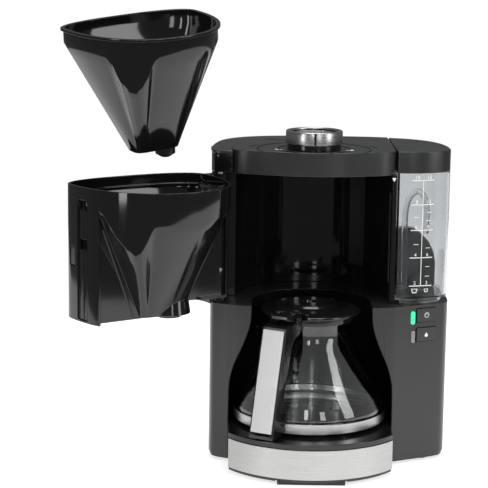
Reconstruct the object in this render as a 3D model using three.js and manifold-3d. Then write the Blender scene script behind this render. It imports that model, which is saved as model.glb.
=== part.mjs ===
// Drip coffee maker with swing-out filter carrier, lift-out water tank and glass jug.
// Units: mm. +X right, +Y back, +Z up. The origin is on the floor at the middle of the front foot.
// Inside the group everything is drawn about the common axis of the knob, the jug and the hot plate, which stands AXIS_Y behind the origin.
import * as THREE from 'three';
import { mergeVertices } from 'three/addons/utils/BufferGeometryUtils.js';
import Module from 'manifold-3d';

const wasm = await Module();
wasm.setup();

// ---- driving dimensions ----
const AXIS_Y = 93.5;
const GAP = 0.3;
const HOUSING_TOP = 167.5;
const TOP = 325.5;
const CAP_BOTTOM = 301.2;
const KNOB_TOP = 345;
const KNOB_R = 29;
const BASE_R = 104;
const BASE_HALF = 84;
const BAND_Z0 = 6.8;
const BAND_Z1 = 37;
const BAND_T = 1;
const PLATE_TOP = 46;
const JUG_R = 79.6;
const JUG_BOTTOM = 46.4;
const JUG_GLASS_T = 1.8;
const HANDLE_AZ = -119;
const HINGE_X = -94.8;
const HINGE_Y = -5.8;
const CARRIER_OPEN_DEG = 146.5;
const CARRIER_Z0 = 168.5;
const CARRIER_RIM_Z = 300.5;
const FUNNEL_RIM_Z = 290.5;
const CARRIER = { hw: 78, yf: -35, yb: 98, yc: -2, nf: 2.6, nb: 2.2 };
const OUTLET = [-10, 34];
const INSERT_TOP = 298;
const LIFT_AXIS = [0.983, -0.184];
const LIFT_DEG = 8.98;
const LIFT_ARM = 1017;
const LIFT_DROP = 100;
const TANK_X0 = 85;
const TANK_X1 = 141.5;
const TANK_Z0 = 172;
const TANK_Z1 = 302.6;
const SEG = 24;

// outlines seen from above
const LOW = [[-104.5, 12], [-104, -4], [-101.5, -13.5], [-93, -19.5], [-84, -23.5], [-62, -30.5], [-30, -36], [0, -37.5], [30, -36.5], [62, -33.5], [82, -29.5], [91, -25.5], [101, -20.6], [115, -13.8], [129, -6.9], [138, -1], [142, 7], [143.5, 20], [143, 40], [140.5, 62], [134, 82], [121, 99], [98, 112], [70, 119.5], [20, 123], [-30, 121], [-58, 113], [-79, 99], [-94, 76], [-101, 48]];
const CAP = [[-82, -10], [-74, -16.5], [-55, -23], [-28, -31], [0, -34.5], [28, -32.5], [55, -25], [74, -17.5], [82, -10], [83.5, 8], [81, 30], [74, 52], [60, 72], [42, 85], [20, 92], [0, 94], [-20, 92], [-42, 85], [-60, 72], [-74, 52], [-80, 30], [-83, 8]];
const TANK = [[85.4, -12], [98, -12.5], [113, -9.8], [127, -3.8], [136.5, 3], [140.8, 11], [141.8, 24], [140.6, 45], [137.2, 62], [130.5, 79], [119, 94], [102, 105.5], [85.4, 111.5]];
// ---- helpers ----
const V2 = (p) => new THREE.Vector2(p[0], p[1]);
function smooth(points, n) {
  const c = new THREE.CatmullRomCurve3(points.map((p) => new THREE.Vector3(p[0], p[1], 0)), true, 'centripetal');
  const out = [];
  for (let i = 0; i < n; i++) {
    const p = c.getPoint(i / n);
    out.push([p.x, p.y]);
  }
  return out;
}
function area(points) {
  let a = 0;
  points.forEach((p, i) => {
    const q = points[(i + 1) % points.length];
    a += p[0] * q[1] - q[0] * p[1];
  });
  return a / 2;
}
function inset(points, d, all = false) {
  const s = area(points) > 0 ? 1 : -1;
  const moved = points.map((p, i) => {
    const a = points[(i + points.length - 1) % points.length];
    const b = points[(i + 1) % points.length];
    const u = [p[0] - a[0], p[1] - a[1]];
    const v = [b[0] - p[0], b[1] - p[1]];
    const lu = Math.hypot(...u);
    const lv = Math.hypot(...v);
    const n1 = [(-s * u[1]) / lu, (s * u[0]) / lu];
    const n2 = [(-s * v[1]) / lv, (s * v[0]) / lv];
    const k = 1 + n1[0] * n2[0] + n1[1] * n2[1];
    return [p[0] + (d * (n1[0] + n2[0])) / k, p[1] + (d * (n1[1] + n2[1])) / k];
  });
  return all ? moved : moved.filter((p) => edgeDistance(p, points) > Math.abs(d) - 0.03);
}
function edgeDistance(p, points) {
  let best = Infinity;
  points.forEach((a, i) => {
    const b = points[(i + 1) % points.length];
    const v = [b[0] - a[0], b[1] - a[1]];
    const t = Math.min(1, Math.max(0, ((p[0] - a[0]) * v[0] + (p[1] - a[1]) * v[1]) / (v[0] * v[0] + v[1] * v[1])));
    best = Math.min(best, Math.hypot(p[0] - a[0] - t * v[0], p[1] - a[1] - t * v[1]));
  });
  return best;
}
function circle(x, y, r, n = SEG) {
  const out = [];
  for (let i = 0; i < n; i++) {
    const t = (2 * Math.PI * i) / n;
    out.push([x + r * Math.cos(t), y + r * Math.sin(t)]);
  }
  return out;
}
function superellipse(o, d = 0, n = 56) {
  const out = [];
  for (let i = 0; i < n; i++) {
    const t = (2 * Math.PI * i) / n;
    const c = Math.cos(t);
    const s = Math.sin(t);
    const e = s > 0 ? o.nb : o.nf;
    const h = s > 0 ? o.yb - o.yc : o.yc - o.yf;
    out.push([o.hw * Math.sign(c) * Math.abs(c) ** (2 / e), o.yc + h * Math.sign(s) * Math.abs(s) ** (2 / e)]);
  }
  return d ? inset(out, d, true) : out;
}
function ext(points, z0, z1) {
  const pts = area(points) > 0 ? points : [...points].reverse();
  const g = new THREE.ExtrudeGeometry(new THREE.Shape(pts.map(V2)), { depth: z1 - z0, bevelEnabled: false, steps: 1 });
  g.translate(0, 0, z0);
  return g;
}
function lathe(profile, x = 0, y = 0, n = SEG) {
  const g = new THREE.LatheGeometry(profile.map(V2), n);
  g.rotateX(Math.PI / 2);
  g.translate(x, y, 0);
  return g;
}
function cyl(x, y, z0, z1, r, n = 24, r1 = r) {
  return lathe([[0, z0], [r, z0], [r1, z1], [0, z1]], x, y, n);
}
function pipe(x, y, z0, z1, ro, ri, n = 24) {
  return lathe([[ri, z0], [ro, z0], [ro, z1], [ri, z1], [ri, z0]], x, y, n);
}
function loft(rings) {
  const n = rings[0].pts.length;
  const pos = [];
  const idx = [];
  rings.forEach((r) => r.pts.forEach((p) => pos.push(p[0], p[1], p.length > 2 ? p[2] : r.z)));
  for (let k = 0; k < rings.length - 1; k++) {
    for (let i = 0; i < n; i++) {
      const j = (i + 1) % n;
      const a = k * n + i;
      const b = k * n + j;
      idx.push(a, b, b + n, a, b + n, a + n);
    }
  }
  for (const [k, flip] of [[0, true], [rings.length - 1, false]]) {
    const tri = THREE.ShapeUtils.triangulateShape(rings[k].pts.map(V2), []);
    tri.forEach((t) => idx.push(k * n + t[0], k * n + (flip ? t[2] : t[1]), k * n + (flip ? t[1] : t[2])));
  }
  const g = new THREE.BufferGeometry();
  g.setAttribute('position', new THREE.Float32BufferAttribute(pos, 3));
  g.setIndex(idx);
  return g;
}
function tube(points, r, n = 10, steps = 30) {
  const curve = new THREE.CatmullRomCurve3(points.map((p) => new THREE.Vector3(...p)));
  return new THREE.ExtrudeGeometry(new THREE.Shape(circle(0, 0, r, n).map(V2)), { steps, bevelEnabled: false, extrudePath: curve });
}
function solid(g) {
  let c = g.clone();
  c.deleteAttribute('normal');
  c.deleteAttribute('uv');
  c = mergeVertices(c, 1e-4);
  const idx = [];
  const src = c.index.array;
  for (let i = 0; i < src.length; i += 3) {
    if (src[i] !== src[i + 1] && src[i + 1] !== src[i + 2] && src[i] !== src[i + 2]) idx.push(src[i], src[i + 1], src[i + 2]);
  }
  const m = new wasm.Manifold(new wasm.Mesh({ numProp: 3, vertProperties: new Float32Array(c.attributes.position.array), triVerts: new Uint32Array(idx) }));
  return m.volume() < 0 ? new wasm.Manifold(new wasm.Mesh({ numProp: 3, vertProperties: new Float32Array(c.attributes.position.array), triVerts: new Uint32Array(idx.map((v, i) => idx[i % 3 === 0 ? i : i % 3 === 1 ? i + 1 : i - 1])) })) : m;
}
const S = (g) => (g.isBufferGeometry ? solid(g) : g);
const add = (...gs) => gs.map(S).reduce((a, b) => a.add(b));
const cut = (a, ...gs) => gs.map(S).reduce((x, y) => x.subtract(y), S(a));
const both = (a, b) => S(a).intersect(S(b));
function geometry(m) {
  const mesh = m.getMesh();
  const g = new THREE.BufferGeometry();
  g.setAttribute('position', new THREE.Float32BufferAttribute(mesh.vertProperties, 3));
  g.setIndex(Array.from(mesh.triVerts));
  return g;
}
function slab(x0, x1, y0, y1, z0, z1) {
  return ext([[x0, y0], [x1, y0], [x1, y1], [x0, y1]], z0, z1);
}

const COL = {
  gloss: 0x0a0a0b, satin: 0x2b2c2e, steel: 0xb9bcc0, glass: 0xcfd8dc, smoke: 0x8c9296, rubber: 0x151515, board: 0x1d5a38, copper: 0xa8652f, led: 0x35e06a, grey: 0x8a8c8e, white: 0xe8e8e8, clear: 0xb8bec2,
};
const group = new THREE.Group();
group.name = 'coffee_maker';
group.position.y = AXIS_Y;
function piece(parent, name, shape, colour, gloss = 0.4) {
  const g = shape.isBufferGeometry ? shape : geometry(shape);
  const m = new THREE.Mesh(g, new THREE.MeshStandardMaterial({ color: colour, roughness: gloss }));
  m.name = name;
  parent.add(m);
  return m;
}

// ---- outlines used by several pieces ----
const low = smooth(LOW, 48);
const lowIn = inset(low, 2.6);
const baseRound = (r, half, back) => {
  const a = Math.acos(half / r);
  const pts = [[half, back]];
  pts.unshift([-half, back]);
  const out = [[half, back]];
  const n = 20;
  for (let i = 0; i <= n; i++) {
    const t = -a - ((Math.PI - 2 * a) * i) / n;
    out.push([r * Math.cos(t), r * Math.sin(t)]);
  }
  out.push([-half, back]);
  return out;
};
// jug niche: half width by height
const NICHE = [[37, 84.4], [84, 83.9], [105, 79.2], [128, 69.6], [153, 62.4], [HOUSING_TOP + 1, 61.5]];
function bell(d, z0) {
  // body of revolution joined with its run to the front
  const prof = NICHE.map(([z, r]) => [r + d, z]);
  prof[0][1] = z0;
  const full = lathe([[0, z0], ...prof, [0, HOUSING_TOP + 1]], 0, 0, SEG);
  const face = [...prof.map(([r, z]) => [r, z]), ...[...prof].reverse().map(([r, z]) => [-r, z])];
  const run = new THREE.ExtrudeGeometry(new THREE.Shape(face.map(V2)), { depth: 130, bevelEnabled: false });
  run.rotateX(Math.PI / 2);
  return add(full, run);
}

// ---- base ----
const root = new THREE.Group();
root.name = 'machine';
group.add(root);

const trayOutline = inset(low, 1.2);
const tray = add(ext(trayOutline, 3.2, 6.2), ext(baseRound(BASE_R - 2.5, BASE_HALF - 1.2, -10), 3.2, 6.2));
const footAt = [[-88, 4], [-64, 92], [104, 86], [118, 6]];
const screwAt = [[-92, 30], [-44, 104], [60, 107], [128, 40]];
const vents = [-20, -8, 4, 16, 28].map((x) => slab(x - 2, x + 2, 84, 106, 2, 8));
piece(root, 'base_tray', cut(tray, ...vents, ...screwAt.map(([x, y]) => cyl(x, y, 2, 8, 2.4, 10)), slab(-36, 36, -99, -88, 2, 3.9), ...footAt.map(([x, y]) => cyl(x, y, 2, 3.9, 8.4, 16))), COL.satin);
piece(root, 'foot_front', ext([[-34, -97], [34, -97], [34, -90], [-34, -90]], 0, 3.6), COL.rubber);
footAt.forEach(([x, y], i) => piece(root, `foot_${i + 1}`, cyl(x, y, 0, 3.6, 8, 16), COL.rubber));
screwAt.forEach(([x, y], i) => piece(root, `base_screw_${i + 1}`, lathe([[0, 1.2], [3.6, 1.2], [3.6, 2.9], [1.9, 2.9], [1.9, 12], [0, 12]], x, y, 16), COL.steel));

// round base drum with the steel band around it
const drumOut = baseRound(BASE_R - BAND_T - 0.4, BASE_HALF - 0.6, -14);
const drumTop = baseRound(BASE_R - 0.5, BASE_HALF - 0.6, -14);
const drum = add(ext(drumOut, 6.5, 43), ext(drumTop, BAND_Z1 + GAP, 43), ext(circle(0, 0, 80, 32), 38, 43));
const drumIn = baseRound(BASE_R - 5, BASE_HALF - 3.5, -12);
piece(root, 'base_drum', cut(drum, ext(drumIn, 5, 38.5), cyl(0, 0, 5, 40.5, 75, 32), cyl(0, 0, 30, 50, 60, 32)), COL.gloss, 0.2);
const bandShape = cut(ext(baseRound(BASE_R, BASE_HALF - 0.6, -20), BAND_Z0, BAND_Z1), ext(baseRound(BASE_R - BAND_T, BASE_HALF + 3, -10), BAND_Z0 - 1, BAND_Z1 + 1));
piece(root, 'steel_band', bandShape, COL.steel);
piece(root, 'hot_plate', lathe([[0, 41.2], [58, 41.2], [58, 43.3], [71, 43.3], [71.5, PLATE_TOP - 0.6], [70.5, PLATE_TOP], [56, PLATE_TOP], [54, PLATE_TOP - 0.8], [0, PLATE_TOP - 0.8]], 0, 0, 32), COL.gloss);
piece(root, 'plate_gasket', pipe(0, 0, 38.8, 42.9, 59.5, 58.4, 28), COL.rubber);


// ---- lower housing: two wings, a back and the jug niche ----
const PANEL_A = (26 * Math.PI) / 180;
const PANEL_O = [115, -13.8];
function onPanel(g, u, z) {
  const h = g.clone();
  h.rotateZ(PANEL_A);
  h.translate(PANEL_O[0] + u * Math.cos(PANEL_A), PANEL_O[1] + u * Math.sin(PANEL_A), z);
  return h;
}
function panelBox(u0, u1, n0, n1, z0, z1) {
  return onPanel(slab(u0, u1, n0, n1, z0, z1), 0, 0);
}
const BTN = [[-7.6, 15.6, 149.6, 163.6], [-7.2, 16, 129.4, 143.4]];
const LEDS = [[-13.9, -9.3, 147.8, 161.2], [-13.3, -8.8, 128, 141]];
const slot = ext(baseRound(BASE_R + 1, BASE_HALF, -13.7), 0, 50);
const slotOut = ext(baseRound(BASE_R + 3.4, BASE_HALF + 2.4, -11.3), 0, 50);
const tankSeat = [112, 56];
const riserXY = [56, 104];
const hollow = cut(ext(lowIn, 0, 164.8), bell(2.4, 35.3), slotOut);
const housing = cut(
  ext(low, 6.5, HOUSING_TOP), hollow, bell(0, 37.7), slot,
  cyl(0, 0, 30, 44, 62, 32), slab(-52, 52, -20, -9, 7, 37.5),
  cyl(tankSeat[0], tankSeat[1], 150, 170, 12.4), cyl(riserXY[0], riserXY[1], 150, 170, 8, 20),
  ...BTN.map(([a, b, c, d]) => panelBox(a - 0.5, b + 0.5, -4, 8, c - 0.5, d + 0.5)),
  ...LEDS.map(([a, b, c, d]) => panelBox(a - 0.35, b + 0.35, -4, 8, c - 0.35, d + 0.35)),
  cyl(0, 0, -20, 20, 6.8, 16).rotateX(-Math.PI / 2).translate(93, 113, 19),
  cyl(HINGE_X, HINGE_Y, 158, 170, 3.4, 20),
);
// the wings and back are one satin shell, the bay behind the jug is a glossy moulding that sits inside it
piece(root, 'lower_housing', cut(housing, bell(2.7, 35)), COL.satin);
piece(root, 'jug_bay', both(housing, bell(2.4, 35.3)), COL.gloss, 0.15);
piece(root, 'button_on', panelBox(...[BTN[0][0], BTN[0][1], -1.3, 6, BTN[0][2], BTN[0][3]]), COL.satin);
piece(root, 'button_descale', panelBox(...[BTN[1][0], BTN[1][1], -1.3, 6, BTN[1][2], BTN[1][3]]), COL.satin);
piece(root, 'light_guide_on', panelBox(LEDS[0][0], LEDS[0][1], -0.4, 7, LEDS[0][2], LEDS[0][3]), COL.led);
piece(root, 'light_guide_descale', panelBox(LEDS[1][0], LEDS[1][1], -0.4, 7, LEDS[1][2], LEDS[1][3]), COL.grey);
piece(root, 'control_board', add(panelBox(-16, 17, 11, 12.6, 100, 160), panelBox(-6, 8, 9.2, 11.2, 151, 160), panelBox(-6, 8, 9.2, 11.2, 131, 140), panelBox(-12, -2, 12.4, 22, 104, 118)), COL.board);
piece(root, 'cord_gland', lathe([[3.4, -9], [6.4, -9], [6.4, 5.6], [8.6, 5.6], [8.6, 8], [3.4, 8], [3.4, -9]], 0, 0, 16).rotateX(-Math.PI / 2).translate(93, 113, 19), COL.rubber);

// ---- heating ----
const uPath = new THREE.CatmullRomCurve3([[-22, 58, 27.5], [-37, 33, 30], [-42, 0, 33.5], [-29, -32, 33.5], [0, -43, 33.5], [29, -32, 33.5], [42, 0, 33.5], [37, 33, 30], [22, 58, 27.5]].map((p) => new THREE.Vector3(...p)));
const heater = new THREE.ExtrudeGeometry(new THREE.Shape(circle(0, 0, 7, 10).map(V2)), { steps: 24, bevelEnabled: false, extrudePath: uPath });
piece(root, 'flow_heater', heater, COL.grey);
piece(root, 'heater_clamp', add(slab(-50, 50, -6, 6, 22.5, 24.5), cyl(0, 0, 24, 40.4, 5, 16)), COL.steel);
piece(root, 'thermostat', add(cyl(-18, 10, 31, 40.8, 9, 20), slab(-20, -16, 4, 16, 25.5, 31.2)), COL.grey);
piece(root, 'thermal_fuse', add(tube([[14, -8, 36], [14, 22, 36]], 2.6, 10, 2), tube([[14, -12, 36], [14, 26, 36]], 0.8, 8, 2)), COL.copper);
piece(root, 'water_hose', tube([[112, 56, 150], [112, 58, 110], [108, 66, 60], [80, 80, 26], [40, 88, 24], [18, 80, 24.5], [16.2, 70, 26], [20, 61.8, 27.2]], 4.4, 8, 24), COL.white);
piece(root, 'check_valve', lathe([[0, 151], [6, 151], [6, 156], [11.6, 160.5], [11.6, 168.6], [0, 168.6]], tankSeat[0], tankSeat[1], 24), COL.white);
const riserPath = [[-20, 61.8, 27.2], [-16.2, 70, 26], [-18, 80, 25], [0, 96, 26], [34, 106, 34], [riserXY[0], riserXY[1], 60], [riserXY[0], riserXY[1], 120], [riserXY[0], riserXY[1], 220], [riserXY[0], riserXY[1], 292], [50, 95, 308], [34, 70, 312.5], [14, 44, 312.5]];
const riser = tube(riserPath, 4.2, 8, 28);
piece(root, 'riser_tube', riser, COL.white);

// ---- column ----
const cavity = add(ext(superellipse(CARRIER, -2, 48), 160, 330), slab(-80, 80, -60, 0, 160, 330), slab(-130, -72, -60, 17, 160, 330));
const columnPlan = both(ext(low, HOUSING_TOP + GAP, 320.7), slab(-130, 84.5, -14, 140, 160, 330));
const capOutline = smooth(CAP, 40);
const column = cut(
  columnPlan, both(cavity, slab(-140, 140, -100, 140, 100, 301)), ext(inset(capOutline, -0.5), 300.9, 330), slab(-130, 90, -60, 17, 300.9, 330),
  tube(riserPath, 7.2, 8, 28), cyl(riserXY[0], riserXY[1], 160, 296, 8, 20),
);
piece(root, 'column', column, COL.gloss, 0.15);
piece(root, 'catch_strip', ext([[79.3, -8], [79.3, 8], [78.7, 8], [78.7, -8]], 190, 282), COL.satin);
piece(root, 'hinge_pin', cyl(HINGE_X, HINGE_Y, 160, 310, 3, 20), COL.steel);

const wing = [[-104.5, 16.6], [-104.2, 0], [-103.6, -8], [-101, -15], [-95, -19], [-82.7, -19.6], [-83.6, 6], [-81.5, 16.6]];
piece(root, 'wing_cap', cut(ext(wing, 302.8, 320.7), ext(inset(wing, 2.2), 302, 318.5), ext(inset(capOutline, -0.5), 300, 330), cut(cyl(HINGE_X, HINGE_Y, 300, 310, 3.4, 20))), COL.gloss, 0.15);
const lidPlan = both(ext(smooth(LOW, 48), 321, TOP - 0.4), slab(-130, 84.6, -60, 140, 300, 340));
const lidFront = add(ext(wing, 321, TOP - 0.4), both(lidPlan, slab(-130, 130, 16, 140, 300, 340)));
piece(root, 'rear_lid', cut(lidFront, ext(inset(capOutline, -0.6), 300, 340)), COL.satin);

// ---- cap, shower and knob ----
const capHollow = ext(inset(capOutline, 3), 300, 321.5);
piece(root, 'cap', cut(ext(capOutline, CAP_BOTTOM, TOP), capHollow, cyl(0, 0, 320, 330, 6.4, 24), tube(riserPath, 7.2, 8, 28)), COL.satin);
const shower = lathe([[0, 303], [42, 303], [42, 307.5], [39.6, 307.5], [39.6, 305], [0, 305]], 0, 34, 32);
const holes = [];
for (let k = 0; k < 6; k++) {
  const t = (k * Math.PI) / 3;
  holes.push(cyl(26 * Math.cos(t), 34 + 26 * Math.sin(t), 300, 306, 2.2, 6));
}
piece(root, 'shower_plate', add(cut(shower, ...holes), both(slab(-76, 76, 28, 34, 303, 306), cut(capHollow, ext(inset(capOutline, 3.5), 330, 331)))), COL.gloss);
const knob = new THREE.Group();
group.add(knob);
piece(knob, 'knob_ring', pipe(0, 0, 331.6, KNOB_TOP, KNOB_R, 25, 32), COL.steel, 0.3);
piece(knob, 'knob_core', lathe([[0, 326], [27.4, 326], [27.4, 331.3], [24.7, 331.3], [24.7, 343.4], [23.6, 343.4], [22.2, 341.4], [0, 341.4]], 0, 0, 32), COL.gloss);
piece(knob, 'knob_spindle', cyl(0, 0, 318, 325.7, 5.6, 20), COL.white);
piece(knob, 'aroma_disc', cut(cyl(0, 0, 315, 317.7, 15, 24), slab(4, 20, -5, 5, 310, 320)), COL.white);

// ---- filter carrier, drawn closed and swung open about its post ----
const carrier = new THREE.Group();
carrier.position.set(HINGE_X, HINGE_Y, 0);
carrier.rotation.z = (-CARRIER_OPEN_DEG * Math.PI) / 180;
const carrierIn = new THREE.Group();
carrierIn.position.set(-HINGE_X, -HINGE_Y, 0);
carrier.add(carrierIn);
group.add(carrier);
const N = 32;
const co = superellipse(CARRIER, 0, N);
const ci = superellipse(CARRIER, 2.2, N);
const lerp = (a, b, k) => a.map((p, i) => [p[0] + (b[i][0] - p[0]) * k, p[1] + (b[i][1] - p[1]) * k]);
const oval = (cx, cy, rx, ry, n = N) => Array.from({ length: n }, (_, i) => [cx + rx * Math.cos((2 * Math.PI * i) / n), cy + ry * Math.sin((2 * Math.PI * i) / n)]);
const frontHalf = slab(-90, 90, -60, 6, 100, 330);
const shell = both(cut(ext(co, CARRIER_Z0, CARRIER_RIM_Z), ext(ci, 160, 310)), frontHalf);
const fOut = [{ pts: oval(5, 34, 26, 14.5), z: 172 }, { pts: oval(4, 34, 33, 22), z: 188 }, { pts: superellipse(CARRIER, 0.4, N), z: 273 }, { pts: superellipse(CARRIER, 0, N), z: FUNNEL_RIM_Z }];
const fIn = [{ pts: oval(5, 34, 24, 12.5), z: 174.4 }, { pts: oval(4, 34, 30.8, 19.8), z: 189 }, { pts: superellipse(CARRIER, 2.8, N), z: 273.6 }, { pts: superellipse(CARRIER, 2.4, N), z: FUNNEL_RIM_Z + 1 }];
const funnel = cut(add(loft(fOut), cyl(OUTLET[0], OUTLET[1], CARRIER_Z0, 174, 12.2, 24)), loft(fIn), cyl(OUTLET[0], OUTLET[1], 160, 190, 10.6, 24));
const ledge = cut(ext(superellipse(CARRIER, 1, N), 287.6, FUNNEL_RIM_Z), ext(superellipse(CARRIER, 5.6, N), 280, 300));
const endPlates = both(add(slab(74, 76.4, 0, 26, CARRIER_Z0, 289), slab(-76.4, -74, 0, 34, CARRIER_Z0 + 12, 289)), ext(superellipse(CARRIER, 0.5, N), 160, 300));
const barrel = cut(add(cyl(HINGE_X, HINGE_Y, CARRIER_Z0, 199, 7.6, 24), cyl(HINGE_X, HINGE_Y, 262, CARRIER_RIM_Z, 7.6, 24), ext([[HINGE_X, HINGE_Y - 5], [-75, HINGE_Y - 5], [-75, HINGE_Y + 1], [HINGE_X, HINGE_Y + 1]], CARRIER_Z0, 199), ext([[HINGE_X, HINGE_Y - 5], [-75, HINGE_Y - 5], [-75, HINGE_Y + 1], [HINGE_X, HINGE_Y + 1]], 262, CARRIER_RIM_Z)), cyl(HINGE_X, HINGE_Y, 160, 310, 3.4, 20), ext(ci, 160, 310));
const latchHole = slab(60, 90, -6, 4, 222, 240);
piece(carrierIn, 'carrier', cut(add(shell, funnel, ledge, endPlates, barrel), latchHole), COL.gloss, 0.15);
piece(carrierIn, 'carrier_latch', slab(74.4, 77.4, -5.4, 3.4, 222.6, 239.4), COL.satin);

// ---- filter insert with its drip stop, drawn seated in the closed carrier ----
const seat = [-154, -88, 240];
const w = new THREE.Vector3(LIFT_AXIS[0], LIFT_AXIS[1], 0).normalize();
const u = new THREE.Vector3(-w.y, w.x, 0);
const axisPoint = new THREE.Vector3(seat[0] - LIFT_ARM * u.x, seat[1] - LIFT_ARM * u.y, seat[2] - LIFT_DROP);
function lifted() {
  const g1 = new THREE.Group();
  g1.position.copy(axisPoint);
  g1.quaternion.setFromAxisAngle(w, (LIFT_DEG * Math.PI) / 180);
  const g2 = new THREE.Group();
  g2.position.copy(axisPoint).multiplyScalar(-1);
  const g3 = new THREE.Group();
  g3.position.set(HINGE_X, HINGE_Y, 0);
  g3.rotation.z = (-CARRIER_OPEN_DEG * Math.PI) / 180;
  const g4 = new THREE.Group();
  g4.position.set(-HINGE_X, -HINGE_Y, 0);
  g1.add(g2);
  g2.add(g3);
  g3.add(g4);
  group.add(g1);
  return g4;
}
const insertIn = lifted();
const iOut = [{ pts: oval(1, 34, 22, 11.5), z: 181 }, { pts: oval(2, 34, 27, 16.5), z: 195 }, { pts: superellipse(CARRIER, 7.2, N), z: 276 }, { pts: superellipse(CARRIER, 6.8, N), z: 291.5 }];
const iIn = [{ pts: oval(1, 34, 20, 9.6), z: 183.5 }, { pts: oval(2, 34, 25, 14.5), z: 196 }, { pts: superellipse(CARRIER, 9, N), z: 276.6 }, { pts: superellipse(CARRIER, 8.6, N), z: 310 }];
const flange = ext(superellipse(CARRIER, 3.4, N), FUNNEL_RIM_Z + GAP, FUNNEL_RIM_Z + 3);
const rimUp = ext(superellipse(CARRIER, 6.8, N), FUNNEL_RIM_Z, INSERT_TOP);
piece(insertIn, 'filter_insert', cut(add(loft(iOut), flange, rimUp, cyl(OUTLET[0], OUTLET[1], 173.5, 183, 9.6, 24)), loft(iIn), cyl(OUTLET[0], OUTLET[1], 160, 180.6, 8.2, 24), cyl(OUTLET[0], OUTLET[1], 160, 200, 3.4, 12)), COL.gloss, 0.15);
piece(insertIn, 'drip_valve', add(lathe([[0, 169.8], [4, 170.3], [6.6, 171.8], [7.8, 174], [7.8, 176], [0, 176]], OUTLET[0], OUTLET[1], 24), cyl(OUTLET[0], OUTLET[1], 175, 187, 2.6, 12)), COL.gloss, 0.3);
piece(insertIn, 'valve_spring', pipe(OUTLET[0], OUTLET[1], 176.3, 178.4, 5.4, 4.2, 16), COL.steel);
piece(insertIn, 'valve_seal', pipe(OUTLET[0], OUTLET[1], 183.8, 186, 5.6, 2.9, 16), COL.rubber);

// ---- water tank ----
const tankCurve = new THREE.CatmullRomCurve3(TANK.map((p) => new THREE.Vector3(p[0], p[1], 0)), false, 'centripetal');
const tank = Array.from({ length: 22 }, (_, i) => tankCurve.getPoint(i / 21)).map((p) => [p.x, p.y]);
const tankGroup = new THREE.Group();
group.add(tankGroup);
const tankFoot = cut(ext(inset(tank, 5), HOUSING_TOP + GAP, TANK_Z0 + 1), ext(inset(tank, 8), 160, TANK_Z0));
piece(tankGroup, 'water_tank', cut(add(ext(tank, TANK_Z0, TANK_Z1), tankFoot), ext(inset(tank, 2.2), TANK_Z0 + 2.4, 310), cyl(tankSeat[0], tankSeat[1], 160, 190, 6.4, 24)), COL.clear, 0.1);
piece(tankGroup, 'tank_valve', lathe([[0, 169.2], [5.6, 169.2], [5.6, 174.9], [12, 174.9], [12, 178], [8, 186], [0, 189]], tankSeat[0], tankSeat[1], 24), COL.satin);
piece(tankGroup, 'intake_tube', tube([[98, 22, 176], [98, 22, 200], [98, 22, 262], [103, 22, 276], [109, 22, 280], [115, 22, 276], [119, 22, 262], [119, 22, 236]], 3, 8, 24), COL.smoke);
const tankLid = add(cut(ext(tank, TANK_Z1 + 0.4, TOP - 0.2), ext(inset(tank, 2.4), 300, 321.6)), ext(inset(tank, 3), 322, 323));
piece(tankGroup, 'tank_lid', tankLid, COL.satin);

// ---- jug, drawn with its handle along +X and turned to its place ----
const jug = new THREE.Group();
jug.rotation.z = (HANDLE_AZ * Math.PI) / 180;
group.add(jug);
function radial(points, t0, t1) {
  const g = ext(points, 0, t1 - t0);
  g.rotateX(Math.PI / 2);
  g.translate(0, t1, 0);
  return g;
}
const glassOut = [[71, 47.4], [77, 50.8], [77.8, 56.8], [79.9, 59], [79, 65], [73.6, 77], [61.4, 97.6], [48.8, 118], [41.2, 131], [40.2, 140], [41.4, 148.4], [41.4, 155.6]];
const glassIn = [...glassOut].reverse().map(([r, z], i) => [r - JUG_GLASS_T, i === 0 ? z : Math.max(z, 49.4)]);
const glassProfile = [[0, 47.4], ...glassOut, ...glassIn.filter(([, z], i, a) => i === 0 || z < a[i - 1][1]), [0, 49.4]];
piece(jug, 'jug_glass', lathe(glassProfile, 0, 0, 28), COL.glass, 0.05);
piece(jug, 'jug_band', add(pipe(0, 0, JUG_BOTTOM, 56.4, JUG_R, 78.2, 32), cut(radial([[76, 0], [90, 0], [90, 1], [76, 1]], 0, 1).translate(0, 0, -50), slab(-200, 200, -200, 200, -60, 0))), COL.steel);
const ears = [radial([[41.5, 150], [54, 150], [54, 160.6], [47.6, 160.6], [44, 156]], 9.6, 13.4), radial([[41.5, 150], [54, 150], [54, 160.6], [47.6, 160.6], [44, 156]], -13.4, -9.6)];
const handleProfile = [[40, 155.6], [76.5, 154.6], [80.5, 152], [106, 47.6], [104, 44.6], [80.2, 46.6], [80.2, 55.4], [89.6, 56.4], [64, 138.5], [52, 142], [40, 149.2]];
const handle = cut(add(pipe(0, 0, 149.8, 156, 46.2, 41.9, 32), radial(handleProfile, -13.4, 13.4), ...ears), radial([[47, 139], [69.5, 139], [72.6, 166], [47, 166]], -9.2, 9.2), cyl(0, 0, 40, 160, 41.9, 32), radial([[40, 157.2], [56, 157.2], [56, 158.8], [40, 158.8]], -1, 1));
const pinHole = radial(circle(50.4, 158, 1.9, 12), -20, 20);
const inlayFace = radial([[77.2, 154.2], [81.6, 152.6], [106.4, 50.4], [101.6, 49.6]], -12.1, 12.1);
piece(jug, 'jug_handle', cut(handle, pinHole, inlayFace), COL.gloss, 0.25);
piece(jug, 'handle_inlay', radial([[79.8, 151.6], [81.2, 151.9], [105.6, 51.6], [104.2, 51.3]], -11.8, 11.8), COL.steel);
const lidBody = lathe([[0, 160.4], [37, 160.4], [37, 151], [39.2, 151], [39.2, 156.6], [51.6, 156.6], [52.2, 158.4], [51, 160.4], [43, 162.6], [27, 163.6], [24.5, 166.6], [7, 167], [6.4, 162.8], [0, 162.8]].map(([r, z]) => [Math.min(r, 52.2), z]), 0, 0, 32);
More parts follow.
